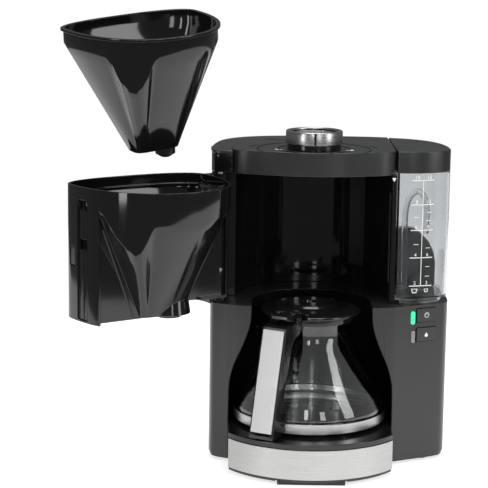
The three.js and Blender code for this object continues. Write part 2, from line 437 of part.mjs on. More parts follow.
const lever = add(radial([[40, 158.4], [46, 156.4], [70.3, 160.8], [69.6, 164], [46, 163], [40, 162]], -8.8, 8.8), radial(circle(50.4, 158, 3.2, 14), -8.8, 8.8));
const lid = cut(add(cut(lidBody, slab(40, 60, -14, 14, 140, 170)), lever), pinHole, cyl(0, 0, 150, 175, 4.5, 20), slab(41.2, 60, 9.3, 20, 140, 170), slab(41.2, 60, -20, -9.3, 140, 170));
piece(jug, 'jug_lid', lid, COL.gloss, 0.25);
piece(jug, 'lid_pin', radial(circle(50.4, 158, 1.5, 12), -13.2, 13.2), COL.steel);

export { group };
export default group;
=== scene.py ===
import math

import bmesh
import bpy
from mathutils import Matrix, Vector


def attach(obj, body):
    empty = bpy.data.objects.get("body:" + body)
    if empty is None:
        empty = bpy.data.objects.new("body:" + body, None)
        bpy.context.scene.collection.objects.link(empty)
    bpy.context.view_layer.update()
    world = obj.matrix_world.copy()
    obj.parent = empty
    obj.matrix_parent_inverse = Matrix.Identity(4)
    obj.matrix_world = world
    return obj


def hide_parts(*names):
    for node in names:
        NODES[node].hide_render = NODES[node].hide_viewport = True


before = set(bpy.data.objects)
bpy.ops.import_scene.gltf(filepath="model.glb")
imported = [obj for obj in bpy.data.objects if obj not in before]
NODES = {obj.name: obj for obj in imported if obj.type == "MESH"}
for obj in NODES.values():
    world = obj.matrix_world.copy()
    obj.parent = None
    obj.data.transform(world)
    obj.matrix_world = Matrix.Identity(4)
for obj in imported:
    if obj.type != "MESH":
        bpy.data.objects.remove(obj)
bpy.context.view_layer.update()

SCENE = bpy.context.scene
MM = 0.001
AXIS_Y = 93.5

# ------------------------------------------------------------------ camera
YAW, PITCH, ROLL = math.radians(0.045), math.radians(10.223), math.radians(0.770)
fwd = Vector((math.sin(YAW) * math.cos(PITCH), math.cos(YAW) * math.cos(PITCH), -math.sin(PITCH)))
side = Vector((math.cos(YAW), -math.sin(YAW), 0))
upv = side.cross(fwd)
right = side * math.cos(ROLL) + upv * math.sin(ROLL)
up = -side * math.sin(ROLL) + upv * math.cos(ROLL)
cam_data = bpy.data.cameras.new("camera")
cam = bpy.data.objects.new("camera", cam_data)
SCENE.collection.objects.link(cam)
cam_data.sensor_width = 36
cam_data.lens = 1681.8 / 488 * 36
cam_data.clip_start, cam_data.clip_end = 0.05, 50
cam.matrix_world = Matrix((
    (right.x, up.x, -fwd.x, -0.07149),
    (right.y, up.y, -fwd.y, -1.61191),
    (right.z, up.z, -fwd.z, 0.53361),
    (0, 0, 0, 1),
))
SCENE.camera = cam

# ------------------------------------------------------------------ outlines (millimetres, about the knob axis)
LOW = [(-104.5, 12), (-104, -4), (-101.5, -13.5), (-93, -19.5), (-84, -23.5), (-62, -30.5), (-30, -36), (0, -37.5), (30, -36.5), (62, -33.5), (82, -29.5), (91, -25.5), (101, -20.6), (115, -13.8), (129, -6.9), (138, -1), (142, 7), (143.5, 20), (143, 40), (140.5, 62), (134, 82), (121, 99), (98, 112), (70, 119.5), (20, 123), (-30, 121), (-58, 113), (-79, 99), (-94, 76), (-101, 48)]
CAP = [(-82, -10), (-74, -16.5), (-55, -23), (-28, -31), (0, -34.5), (28, -32.5), (55, -25), (74, -17.5), (82, -10), (83.5, 8), (81, 30), (74, 52), (60, 72), (42, 85), (20, 92), (0, 94), (-20, 92), (-42, 85), (-60, 72), (-74, 52), (-80, 30), (-83, 8)]
TANK = [(85.4, -12), (98, -12.5), (113, -9.8), (127, -3.8), (136.5, 3), (140.8, 11), (141.8, 24), (140.6, 45), (137.2, 62), (130.5, 79), (119, 94), (102, 105.5), (85.4, 111.5)]
WING = [(-104.5, 16.6), (-104.2, 0), (-103.6, -8), (-101, -15), (-95, -19), (-82.7, -19.6), (-83.6, 6), (-81.5, 16.6)]
TOP = 325.5
CAP_BOTTOM = 301.2
HOUSING_TOP = 167.5
HX, HY = -94.8, -5.8
CAR = dict(hw=78, yf=-35, yb=98, yc=-2, nf=2.6, nb=2.2)
OUTLET = (-10, 34)


def spline(points, n, closed=True):
    """n points along the centripetal spline through the given points."""
    pts = [Vector((p[0], p[1], p[2] if len(p) > 2 else 0)) for p in points]
    count = len(pts)
    out = []
    for i in range(n):
        t = i / n * count if closed else i / (n - 1) * (count - 1)
        k = min(int(t), count - 1 if closed else count - 2)
        w = t - k
        if closed:
            p0, p1, p2, p3 = (pts[(k + d) % count] for d in (-1, 0, 1, 2))
        else:
            p1, p2 = pts[k], pts[k + 1]
            p0 = pts[k - 1] if k > 0 else p1 * 2 - p2
            p3 = pts[k + 2] if k + 2 < count else p2 * 2 - p1
        d0, d1, d2 = (max((b - a).length ** 0.5, 1e-4) for a, b in ((p0, p1), (p1, p2), (p2, p3)))
        t1 = ((p1 - p0) / d0 - (p2 - p0) / (d0 + d1) + (p2 - p1) / d1) * d1
        t2 = ((p2 - p1) / d1 - (p3 - p1) / (d1 + d2) + (p3 - p2) / d2) * d1
        c2 = p1 * -3 + p2 * 3 - t1 * 2 - t2
        c3 = p1 * 2 - p2 * 2 + t1 + t2
        q = p1 + t1 * w + c2 * w * w + c3 * w * w * w
        out.append((q.x, q.y, q.z) if len(points[0]) > 2 else (q.x, q.y))
    return out


def area(p):
    return sum(p[i][0] * p[(i + 1) % len(p)][1] - p[(i + 1) % len(p)][0] * p[i][1] for i in range(len(p))) / 2


def ccw(p):
    return list(p) if area(p) > 0 else list(reversed(p))


def edge_distance(p, pts):
    best = 1e9
    for i, a in enumerate(pts):
        b = pts[(i + 1) % len(pts)]
        vx, vy = b[0] - a[0], b[1] - a[1]
        t = min(1, max(0, ((p[0] - a[0]) * vx + (p[1] - a[1]) * vy) / (vx * vx + vy * vy + 1e-12)))
        best = min(best, math.hypot(p[0] - a[0] - t * vx, p[1] - a[1] - t * vy))
    return best


def inset(pts, d, keep=False):
    """Outline moved inwards by d (outwards when negative)."""
    s = 1 if area(pts) > 0 else -1
    out = []
    for i, p in enumerate(pts):
        a, b = pts[i - 1], pts[(i + 1) % len(pts)]
        ux, uy, vx, vy = p[0] - a[0], p[1] - a[1], b[0] - p[0], b[1] - p[1]
        lu, lv = math.hypot(ux, uy), math.hypot(vx, vy)
        n1, n2 = (-s * uy / lu, s * ux / lu), (-s * vy / lv, s * vx / lv)
        k = max(0.25, 1 + n1[0] * n2[0] + n1[1] * n2[1])
        out.append((p[0] + d * (n1[0] + n2[0]) / k, p[1] + d * (n1[1] + n2[1]) / k))
    return out if keep else [p for p in out if edge_distance(p, pts) > abs(d) - 0.03]


def superellipse(d=0, n=144):
    out = []
    for i in range(n):
        t = 2 * math.pi * i / n
        c, s = math.cos(t), math.sin(t)
        e = CAR["nb"] if s > 0 else CAR["nf"]
        h = CAR["yb"] - CAR["yc"] if s > 0 else CAR["yc"] - CAR["yf"]
        out.append((CAR["hw"] * math.copysign(abs(c) ** (2 / e), c), CAR["yc"] + h * math.copysign(abs(s) ** (2 / e), s)))
    return inset(out, d, True) if d else out


def circle(x, y, r, n=64):
    return [(x + r * math.cos(2 * math.pi * i / n), y + r * math.sin(2 * math.pi * i / n)) for i in range(n)]


def rounded(x0, x1, y0, y1, r, n=10):
    out = []
    for cx, cy, a0 in ((x1 - r, y1 - r, 0), (x0 + r, y1 - r, 90), (x0 + r, y0 + r, 180), (x1 - r, y0 + r, 270)):
        for i in range(n + 1):
            a = math.radians(a0 + 90 * i / n)
            out.append((cx + r * math.cos(a), cy + r * math.sin(a)))
    return out


# ------------------------------------------------------------------ solids
def raw(verts, faces):
    me = bpy.data.meshes.new("raw")
    me.from_pydata(verts, [], faces)
    me.validate()
    bm = bmesh.new()
    bm.from_mesh(me)
    bmesh.ops.remove_doubles(bm, verts=bm.verts, dist=1e-4)
    bmesh.ops.recalc_face_normals(bm, faces=bm.faces)
    bm.to_mesh(me)
    bm.free()
    return me


def loft(rings):
    """Closed solid through rings of equally many points (x, y, z)."""
    n = len(rings[0])
    verts = [tuple(p) for r in rings for p in r]
    faces = [(k * n + i, k * n + (i + 1) % n, (k + 1) * n + (i + 1) % n, (k + 1) * n + i) for k in range(len(rings) - 1) for i in range(n)]
    faces.append(tuple(reversed(range(n))))
    faces.append(tuple((len(rings) - 1) * n + i for i in range(n)))
    return raw(verts, faces)


def ext(pts, z0, z1):
    p = ccw(pts)
    return loft([[(x, y, z0) for x, y in p], [(x, y, z1) for x, y in p]])


def slab(x0, x1, y0, y1, z0, z1):
    return ext([(x0, y0), (x1, y0), (x1, y1), (x0, y1)], z0, z1)


def lathe(profile, x=0, y=0, n=128):
    """Body of revolution; a profile of (r, z) that starts and ends on the axis, or closes on itself."""
    ring = profile[0][0] > 1e-6
    prof = list(profile[:-1]) if ring and profile[0] == profile[-1] else list(profile)
    verts, index = [], []
    for r, z in prof:
        if r < 1e-6:
            index.append([len(verts)] * n)
            verts.append((x, y, z))
        else:
            index.append([len(verts) + i for i in range(n)])
            verts += [(x + r * math.cos(2 * math.pi * i / n), y + r * math.sin(2 * math.pi * i / n), z) for i in range(n)]
    faces = []
    m = len(prof)
    for k in range(m if ring else m - 1):
        a, b = index[k], index[(k + 1) % m]
        for i in range(n):
            j = (i + 1) % n
            q = [a[i], a[j], b[j], b[i]]
            q = [v for s, v in enumerate(q) if v not in q[:s]]
            if len(q) > 2:
                faces.append(tuple(q))
    return raw(verts, faces)


def cyl(x, y, z0, z1, r, n=64, r1=None):
    return lathe([(0, z0), (r, z0), (r if r1 is None else r1, z1), (0, z1)], x, y, n)


def pipe(x, y, z0, z1, ro, ri, n=96):
    return lathe([(ri, z0), (ro, z0), (ro, z1), (ri, z1), (ri, z0)], x, y, n)


def tube(points, r, sides=20, steps=90, closed_ends=True):
    """Round tube along a smooth line."""
    path = [Vector(p) for p in spline(points, steps, False)]
    tan = [(path[min(i + 1, steps - 1)] - path[max(i - 1, 0)]).normalized() for i in range(steps)]
    ref = Vector((0, 0, 1)) if abs(tan[0].z) < 0.9 else Vector((1, 0, 0))
    u = tan[0].cross(ref).normalized()
    rings = []
    for p, t in zip(path, tan):
        u = (u - t * u.dot(t)).normalized()
        v = t.cross(u)
        rings.append([p + (u * math.cos(2 * math.pi * i / sides) + v * math.sin(2 * math.pi * i / sides)) * r for i in range(sides)])
    return loft(rings)


def joined(*meshes):
    bm = bmesh.new()
    for me in meshes:
        bm.from_mesh(me)
    out = bpy.data.meshes.new("joined")
    bm.to_mesh(out)
    bm.free()
    return out


def boolean(a, b, op):
    oa = bpy.data.objects.new("a", a)
    ob = bpy.data.objects.new("b", b)
    SCENE.collection.objects.link(oa)
    SCENE.collection.objects.link(ob)
    mod = oa.modifiers.new("bool", "BOOLEAN")
    mod.operation = op
    mod.solver = "MANIFOLD"
    mod.object = ob
    bpy.context.view_layer.update()
    dg = bpy.context.evaluated_depsgraph_get()
    me = bpy.data.meshes.new_from_object(oa.evaluated_get(dg))
    bpy.data.objects.remove(oa)
    bpy.data.objects.remove(ob)
    if not len(me.polygons):
        print("EMPTY BOOLEAN", op)
    return me


def cut(a, *tools):
    for t in tools:
        a = boolean(a, t, "DIFFERENCE")
    return a


def add(a, *others):
    for t in others:
        a = boolean(a, t, "UNION")
    return a


def both(a, b):
    return boolean(a, b, "INTERSECT")


def moved(me, m):
    me = me.copy()
    me.transform(m)
    return me


TO_ROW = Matrix.Translation((0, AXIS_Y * MM, 0)) @ Matrix.Scale(MM, 4)


def turn_z(deg, x=0, y=0):
    return Matrix.Translation((x, y, 0)) @ Matrix.Rotation(math.radians(deg), 4, "Z") @ Matrix.Translation((-x, -y, 0))


OPEN = turn_z(-146.5, HX, HY)
LIFT_W = Vector((0.983, -0.184, 0)).normalized()
LIFT_U = Vector((-LIFT_W.y, LIFT_W.x, 0))
LIFT_P = Vector((-154, -88, 240)) - LIFT_U * 1017 - Vector((0, 0, 100))
LIFTED = Matrix.Translation(LIFT_P) @ Matrix.Rotation(math.radians(8.98), 4, LIFT_W) @ Matrix.Translation(-LIFT_P) @ OPEN
JUG = turn_z(-119)


def piece(name, body, me, mat, place=None, bevel=0.0, segments=2, sharp=33, nodes=(), weighted=True):
    """A finished Blender piece from a mesh in millimetres."""
    bm = bmesh.new()
    bm.from_mesh(me)
    bmesh.ops.remove_doubles(bm, verts=bm.verts, dist=0.004)
    bmesh.ops.dissolve_degenerate(bm, edges=bm.edges, dist=0.004)
    bmesh.ops.recalc_face_normals(bm, faces=bm.faces)
    fine = bpy.data.meshes.new(name)
    bm.to_mesh(fine)
    bm.free()
    fine.transform(TO_ROW @ (place or Matrix.Identity(4)))
    fine.polygons.foreach_set("use_smooth", [True] * len(fine.polygons))
    o = bpy.data.objects.new(name, fine)
    SCENE.collection.objects.link(o)
    if bevel:
        b = o.modifiers.new("bevel", "BEVEL")
        b.width = bevel * MM
        b.segments = segments
        b.limit_method = "ANGLE"
        b.angle_limit = math.radians(sharp)
        b.use_clamp_overlap = False
        b.miter_outer = "MITER_ARC"
        b.harden_normals = False
    else:
        fine.set_sharp_from_angle(angle=math.radians(sharp))
    if bevel and weighted:
        wn = o.modifiers.new("normals", "WEIGHTED_NORMAL")
        wn.weight = 60
        wn.keep_sharp = False
    fine.materials.clear()
    fine.materials.append(mat)
    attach(o, body)
    if nodes:
        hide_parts(*nodes)
    return o


# ------------------------------------------------------------------ materials
def new_mat(name):
    m = bpy.data.materials.new(name)
    m.use_nodes = True
    t = m.node_tree
    t.nodes.clear()
    out = t.nodes.new("ShaderNodeOutputMaterial")
    b = t.nodes.new("ShaderNodeBsdfPrincipled")
    t.links.new(b.outputs[0], out.inputs[0])
    co = t.nodes.new("ShaderNodeTexCoord")
    return m, t, b, co


def noise(t, co, scale, detail=3, stretch=(1, 1, 1)):
    mp = t.nodes.new("ShaderNodeMapping")
    mp.inputs["Scale"].default_value = stretch
    t.links.new(co.outputs["Object"], mp.inputs[0])
    n = t.nodes.new("ShaderNodeTexNoise")
    n.inputs["Scale"].default_value = scale
    n.inputs["Detail"].default_value = detail
    t.links.new(mp.outputs[0], n.inputs["Vector"])
    return n


def ranged(t, src, lo, hi, a=0.35, b=0.65):
    r = t.nodes.new("ShaderNodeMapRange")
    r.inputs["From Min"].default_value, r.inputs["From Max"].default_value = a, b
    r.inputs["To Min"].default_value, r.inputs["To Max"].default_value = lo, hi
    t.links.new(src, r.inputs["Value"])
    return r.outputs[0]


def bump(t, b, src, strength, dist):
    n = t.nodes.new("ShaderNodeBump")
    n.inputs["Strength"].default_value = strength
    n.inputs["Distance"].default_value = dist
    t.links.new(src, n.inputs["Height"])
    t.links.new(n.outputs[0], b.inputs["Normal"])


def plastic(name, colour, rough, spread, grain=0.0, scale=900, tone=0.12, spec=0.5):
    """Moulded plastic: a fine surface grain, patches of slightly other gloss, and a slight tone change."""
    m, t, b, co = new_mat(name)
    b.inputs["Specular IOR Level"].default_value = spec
    b.inputs["IOR"].default_value = 1.5
    wide = noise(t, co, 14, 2)
    fine = noise(t, co, scale, 4)
    t.links.new(ranged(t, wide.outputs[0], rough - spread, rough + spread), b.inputs["Roughness"])
    ramp = t.nodes.new("ShaderNodeValToRGB")
    ramp.color_ramp.elements[0].color = (*[c * (1 - tone) for c in colour], 1)
    ramp.color_ramp.elements[1].color = (*[c * (1 + tone) for c in colour], 1)
    t.links.new(wide.outputs[0], ramp.inputs[0])
    t.links.new(ramp.outputs[0], b.inputs["Base Color"])
    if grain:
        bump(t, b, fine.outputs[0], grain, 0.00008)
    return m


def brushed(name, colour, rough, stretch, strength=0.25, scale=2200):
    """Brushed metal: long scratches in one direction, which also vary the gloss."""
    m, t, b, co = new_mat(name)
    b.inputs["Metallic"].default_value = 1
    n = noise(t, co, scale, 5, stretch)
    wide = noise(t, co, 9, 2)
    t.links.new(ranged(t, n.outputs[0], rough - 0.07, rough + 0.09), b.inputs["Roughness"])
    ramp = t.nodes.new("ShaderNodeValToRGB")
    ramp.color_ramp.elements[0].color = (*[c * 0.93 for c in colour], 1)
    ramp.color_ramp.elements[1].color = (*colour, 1)
    t.links.new(wide.outputs[0], ramp.inputs[0])
    t.links.new(ramp.outputs[0], b.inputs["Base Color"])
    bump(t, b, n.outputs[0], strength, 0.00003)
    return m


def clear(name, colour, rough, ior=1.5, alpha_tint=None):
    m, t, b, co = new_mat(name)
    b.inputs["Base Color"].default_value = (*colour, 1)
    b.inputs["Transmission Weight"].default_value = 1
    b.inputs["IOR"].default_value = ior
    n = noise(t, co, 22, 2)
    t.links.new(ranged(t, n.outputs[0], rough, rough + 0.012), b.inputs["Roughness"])
    bump(t, b, noise(t, co, 16, 1).outputs[0], 0.05, 0.0006)
    return m


GLOSS = plastic("gloss_black", (0.0055, 0.0055, 0.006), 0.075, 0.02, 0.012, 500)
GLOSS_SOFT = plastic("gloss_black_soft", (0.007, 0.007, 0.0075), 0.16, 0.03, 0.03, 900)
SATIN = plastic("satin_black", (0.017, 0.0172, 0.018), 0.36, 0.03, 0.28, 2600)
SATIN_TOP = plastic("satin_black_lid", (0.02, 0.0203, 0.021), 0.3, 0.03, 0.18, 2600)
# painted shade: dark material for the shade dome inside the tank
PAINTED_SHADE = plastic("painted_shade_dark", (0.008, 0.008, 0.0085), 0.3, 0.04, 0.1, 1200)
PLATE = plastic("plate_coating", (0.012, 0.012, 0.0125), 0.24, 0.04, 0.5, 3600)
RUBBER = plastic("rubber", (0.018, 0.018, 0.018), 0.7, 0.05, 0.5, 1500)
WHITE = plastic("white_print", (0.82, 0.82, 0.81), 0.45, 0.04, 0.05)
HOSE = plastic("hose", (0.6, 0.6, 0.57), 0.4, 0.05, 0.1)
BOARD = plastic("board", (0.02, 0.13, 0.06), 0.4, 0.05, 0.2, 700, 0.3)
ALU = brushed("aluminium", (0.6, 0.6, 0.61), 0.38, (1, 1, 1), 0.4, 700)
COPPER = brushed("copper", (0.62, 0.36, 0.2), 0.3, (1, 1, 1), 0.2, 900)
GREY = plastic("grey_guide", (0.22, 0.22, 0.225), 0.25, 0.03, 0.02)
STEEL_H = brushed("steel_band_brushed", (0.44, 0.437, 0.43), 0.3, (0.012, 0.012, 1), 0.2)
STEEL_V = brushed("steel_inlay_brushed", (0.34, 0.34, 0.338), 0.38, (1, 1, 0.02), 0.15)
STEEL_PIN = brushed("steel_pin", (0.5, 0.5, 0.505), 0.2, (1, 1, 0.1), 0.1)
STEEL_DISC = brushed("steel_disc", (0.7, 0.7, 0.7), 0.22, (0.02, 1, 1), 0.15)
GLASS = clear("jug_glass_clear", (0.97, 0.985, 0.98), 0.0, 1.47)
TANK_CLEAR = clear("tank_clear", (0.72, 0.735, 0.745), 0.03, 1.42)
TUBE_CLEAR = clear("tube_clear", (0.7, 0.72, 0.73), 0.05, 1.4)

LED, _t, _b, _co = new_mat("led_green")
_b.inputs["Base Color"].default_value = (0.03, 0.6, 0.22, 1)
_b.inputs["Emission Color"].default_value = (0.02, 0.75, 0.27, 1)
_b.inputs["Emission Strength"].default_value = 1.1
_t.links.new(ranged(_t, noise(_t, _co, 300).outputs[0], 0.2, 0.3), _b.inputs["Roughness"])

# every CAD node first gets the finish of what it is; the fine pieces come after
FINISH = {
    "foot_": RUBBER, "base_screw_": STEEL_PIN, "plate_gasket": RUBBER, "cord_gland": RUBBER, "valve_seal": RUBBER,
    "hinge_pin": STEEL_PIN, "lid_pin": STEEL_PIN, "valve_spring": STEEL_PIN, "heater_clamp": ALU, "flow_heater": ALU,
    "thermostat": ALU, "thermal_fuse": COPPER, "control_board": BOARD, "water_hose": HOSE, "riser_tube": HOSE,
    "check_valve": HOSE, "knob_spindle": HOSE, "aroma_disc": HOSE, "light_guide_on": LED, "light_guide_descale": GREY,
    "base_tray": SATIN, "button_": SATIN, "catch_strip": SATIN, "carrier_latch": SATIN, "shower_plate": GLOSS_SOFT,
}
for node_name, node in NODES.items():
    found = [m for k, m in FINISH.items() if node_name.startswith(k)]
    node.data.materials.clear()
    node.data.materials.append(found[0] if found else GLOSS)

# ------------------------------------------------------------------ base
low = spline(LOW, 190)
low_in = inset(low, 2.6)


def base_round(r, half, back, n=90):
    a = math.acos(half / r)
    pts = [(half, back)]
    for i in range(n + 1):
        t = -a - (math.pi - 2 * a) * i / n
        pts.append((r * math.cos(t), r * math.sin(t)))
    pts.append((-half, back))
    return pts


drum = add(ext(base_round(102.6, 83.4, -14), 6.5, 43), ext(base_round(103.5, 83.4, -14), 37.3, 43), cyl(0, 0, 38, 43, 80, 128))
drum = cut(drum, ext(base_round(99, 80.5, -12), 5, 38.5), cyl(0, 0, 5, 40.5, 75, 96), cyl(0, 0, 30, 50, 60, 96))
piece("base_drum_fine", "machine", drum, GLOSS_SOFT, bevel=0.7, segments=3, nodes=["base_drum"])
band = cut(ext(base_round(104, 83.4, -20), 6.8, 37), ext(base_round(103, 87, -10), 5, 38))
piece("steel_band_fine", "machine", band, STEEL_H, bevel=0.3, nodes=["steel_band"])
plate = lathe([(0, 41.2), (58, 41.2), (58, 43.3), (71, 43.3), (71.5, 43.8), (71.5, 45.2), (71.1, 45.8), (70.4, 46), (57, 46), (55.4, 45.7), (54, 45.2), (40, 45.2), (39.4, 45), (38.8, 45.2), (0, 45.2)], n=160)
piece("hot_plate_fine", "machine", plate, PLATE, sharp=40, nodes=["hot_plate"])

# ------------------------------------------------------------------ lower housing
NICHE = [(37, 84.4), (60, 84.35), (84, 83.9), (94, 82.2), (105, 79.2), (116, 74.7), (128, 69.6), (140, 65.4), (153, 62.4), (168.5, 61.5)]


def prism_y(pts, y0, y1):
    """Outline of (x, z) run along Y."""
    p = ccw(pts)
    return loft([[(x, y1, z) for x, z in p], [(x, y0, z) for x, z in p]])


def bell(d, z0):
    prof = [(r, z) for z, r in (spline(NICHE, 40, False))]
    prof = [(r + d, z) for r, z in prof]
    prof[0] = (prof[0][0], z0)
    full = lathe([(0, z0), *prof, (0, 168.5)], n=176)
    run = prism_y([(r, z) for r, z in prof] + [(-r, z) for r, z in reversed(prof)], -130, 0)
    return add(full, run)


PANEL = Matrix.Translation((115, -13.8, 0)) @ Matrix.Rotation(math.radians(26), 4, "Z")


def on_panel(pts, n0, n1):
    """Outline of (u, z) on the control panel, from depth n0 to n1."""
    p = ccw(pts)
    return moved(loft([[(u, n1, z) for u, z in p], [(u, n0, z) for u, z in p]]), PANEL)


BTN = [(-7.6, 15.6, 149.6, 163.6), (-7.2, 16, 129.4, 143.4)]
LEDS = [(-13.9, -9.3, 147.8, 161.2), (-13.3, -8.8, 128, 141)]
slot_cut = ext(base_round(105, 84, -13.7), 0, 50)
slot_wall = ext(base_round(107.4, 86.4, -11.3), 0, 50)
hollow = cut(ext(low_in, 0, 164.8), bell(2.4, 35.3), slot_wall)
housing = cut(
    ext(low, 6.5, HOUSING_TOP), hollow, bell(0, 37.7), slot_cut, cyl(0, 0, 30, 44, 62), slab(-52, 52, -20, -9, 7, 37.5),
    cyl(112, 56, 150, 170, 12.4), cyl(56, 104, 150, 170, 8),
    *[on_panel(rounded(a - 0.45, b + 0.45, c - 0.45, d + 0.45, 1.5), -4, 8) for a, b, c, d in BTN],
    *[on_panel(rounded(a - 0.3, b + 0.3, c - 0.3, d + 0.3, 2.1), -4, 8) for a, b, c, d in LEDS],
    moved(cyl(0, 0, -20, 20, 6.8, 32), Matrix.Translation((93, 113, 19)) @ Matrix.Rotation(math.radians(-90), 4, "X")),
    cyl(HX, HY, 158, 170, 3.4),
)
piece("lower_housing_fine", "machine", housing, SATIN, bevel=0.45, nodes=["lower_housing"], sharp=38)
# glossy lining of the jug bay: a thin skin inside the niche, as in the moulded bay part
lining = cut(both(add(bell(-0.08, 38.2)), ext(inset(low, 1.0), 38.4, 167.0)), add(bell(-0.55, 30)))
piece("jug_bay_lining", "machine", lining, GLOSS, sharp=30, nodes=[n for n in ("jug_bay",) if n in NODES])
for k, (a, b, c, d) in enumerate(BTN):
    cap_shape = on_panel(rounded(a, b, c, d, 1.2), -1.3, 6)
    piece(("button_on_fine", "button_descale_fine")[k], ("on_button", "descale_button")[k], cap_shape, SATIN_TOP, bevel=0.5, segments=3, nodes=[("button_on", "button_descale")[k]])
for k, (a, b, c, d) in enumerate(LEDS):
    piece(("light_on_fine", "light_descale_fine")[k], "machine", on_panel(rounded(a, b, c, d, 1.9), -0.5, 7), (LED, GREY)[k], bevel=0.35, nodes=[("light_guide_on", "light_guide_descale")[k]])

# ------------------------------------------------------------------ column, lids, cap
cap_out = spline(CAP, 150)
riser = [(-20, 61.8, 27.2), (-16.2, 70, 26), (-18, 80, 25), (0, 96, 26), (34, 106, 34), (56, 104, 60), (56, 104, 120), (56, 104, 220), (56, 104, 292), (50, 95, 308), (34, 70, 312.5), (14, 44, 312.5)]
riser_path = ((56, 104, 150), (56, 104, 220), (56, 104, 292), (50, 95, 308), (34, 70, 312.5), (14, 44, 312.5))
cavity = add(ext(superellipse(-2, 160), 160, 330), slab(-80, 80, -60, 0, 160, 330), slab(-130, -72, -60, 17, 160, 330))
column = both(ext(low, HOUSING_TOP + 0.3, 320.7), slab(-130, 84.5, -14, 140, 160, 330))
column = cut(column, both(cavity, slab(-140, 140, -100, 140, 100, 301)), ext(inset(cap_out, -0.5), 300.9, 330), slab(-130, 90, -60, 17, 300.9, 330), tube(riser_path, 7.2, 20, 60), cyl(56, 104, 160, 296, 8, 40))
piece("column_fine", "machine", column, GLOSS, bevel=0.5, segments=3, nodes=["column"], sharp=36)
wing = cut(ext(WING, 302.8, 320.7), ext(inset(WING, 2.2), 302, 318.5), ext(inset(cap_out, -0.5), 300, 330), cyl(HX, HY, 300, 310, 3.4))
piece("wing_cap_fine", "machine", wing, GLOSS, bevel=0.6, segments=3, nodes=["wing_cap"])
lid_plan = both(ext(low, 321, TOP - 0.4), slab(-130, 84.6, -60, 140, 300, 340))
lid = cut(add(ext(WING, 321, TOP - 0.4), both(lid_plan, slab(-130, 130, 16, 140, 300, 340))), ext(inset(cap_out, -0.6), 300, 340))
piece("rear_lid_fine", "machine", lid, SATIN_TOP, bevel=0.9, segments=3, nodes=["rear_lid"])


def arc_slot(r, width, a0, a1, z0, z1, n=24):
    pts = [(((r + width / 2) * math.cos(math.radians(a0 + (a1 - a0) * i / n))), (r + width / 2) * math.sin(math.radians(a0 + (a1 - a0) * i / n))) for i in range(n + 1)]
    pts += [(((r - width / 2) * math.cos(math.radians(a1 + (a0 - a1) * i / n))), (r - width / 2) * math.sin(math.radians(a1 + (a0 - a1) * i / n))) for i in range(n + 1)]
    return ext(pts, z0, z1)


cap_hollow = ext(inset(cap_out, 3), 300, 321.5)
cap = cut(
    ext(cap_out, CAP_BOTTOM, TOP), cap_hollow, cyl(0, 0, 320, 330, 6.4), tube(riser_path, 7.2, 20, 60),
    pipe(0, 0, TOP - 0.5, TOP + 1, 58.4, 57.5, 160), pipe(0, 0, TOP - 0.35, TOP + 1, 37.6, 36.9, 128),
    arc_slot(66, 2.6, 150, 172, TOP - 1.6, TOP + 1), arc_slot(66, 2.6, 8, 30, TOP - 1.6, TOP + 1),
)
piece("cap_fine", "machine", cap, SATIN_TOP, bevel=0.8, segments=3, nodes=["cap"], sharp=38)

# ------------------------------------------------------------------ knob
ring = lathe([(25, 331.6), (28.4, 331.6), (28.9, 331.9), (29, 332.4), (29, 343.6), (28.8, 344.3), (28.2, 344.85), (27.4, 345), (26, 345), (25.4, 344.7), (25, 344.1), (25, 331.6)], n=192)
ring = cut(ring, slab(-1.1, 1.1, -30, -28.3, 330, 344.2))
piece("knob_ring_fine", "knob", ring, STEEL_H, sharp=42, nodes=["knob_ring"])
core = lathe([(0, 326), (27.4, 326), (27.4, 331), (27.1, 331.3), (24.7, 331.3), (24.7, 343), (24.4, 343.4), (23.6, 343.4), (22.6, 341.6), (22, 341.4), (20.6, 341.4), (20.2, 341.9), (0, 342.1)], n=160)
piece("knob_core_fine", "knob", core, GLOSS_SOFT, sharp=35, nodes=["knob_core"])
piece("knob_top_disc", "knob", lathe([(0, 342.2), (19.4, 342.2), (19.6, 342.5), (19.2, 342.8), (0, 342.95)], n=128), STEEL_DISC, sharp=35)
piece("knob_index", "knob", slab(-0.95, 0.95, -28.9, -28.35, 331.9, 344), GLOSS_SOFT, bevel=0.1)


# ------------------------------------------------------------------ filter carrier and insert
def wedge(xr, yr, xl, yf, r, d=0.0, zs=(172, 241, 300), n=16):
    """Four-sided funnel with rounded corners. xr, yr, xl, yf are ((value, z), (value, z)) lines; d moves every side in."""
    def at(line, z):
        (v0, z0), (v1, z1) = line
        return v0 + (v1 - v0) * (z - z0) / (z1 - z0)
    rings = []
    for z in zs:
        rr = max(2.0, at(r, z) - d)
        rings.append([(x, y, z) for x, y in rounded(at(xl, z) + d, at(xr, z) - d, at(yf, z) + d, at(yr, z) - d, rr, n)])
    return loft(rings)


def table(pairs, x):
    """Straight-line reading of a table of (x, value), x falling."""
    if x >= pairs[0][0]:
        return pairs[0][1]
    for (x0, v0), (x1, v1) in zip(pairs[:-1], pairs[1:]):
        if x >= x1:
            k = (x0 - x) / (x0 - x1)
            k = k * k * (3 - 2 * k) * 0.35 + k * 0.65
            return v0 + (v1 - v0) * k
    return pairs[-1][1]


CAR_DIP = [(74, 285), (71, 279), (67.4, 267.6), (62.8, 255.2), (57.5, 246.4), (53.6, 242.6), (50.3, 241.4), (47.6, 244.8), (44.6, 252.1), (39.2, 266.0), (36.4, 270.0), (-6, 271.2), (-25, 273), (-41, 276), (-60, 280), (-78, 284)]
INS_DIP = [(68, 283), (60.6, 281), (58.1, 275.8), (53, 258), (47.4, 250), (43.0, 248.4), (39.0, 252.4), (33.8, 262.4), (29, 275.5), (26.6, 279.2), (5, 279.6), (-25, 282), (-60, 283), (-71, 283)]


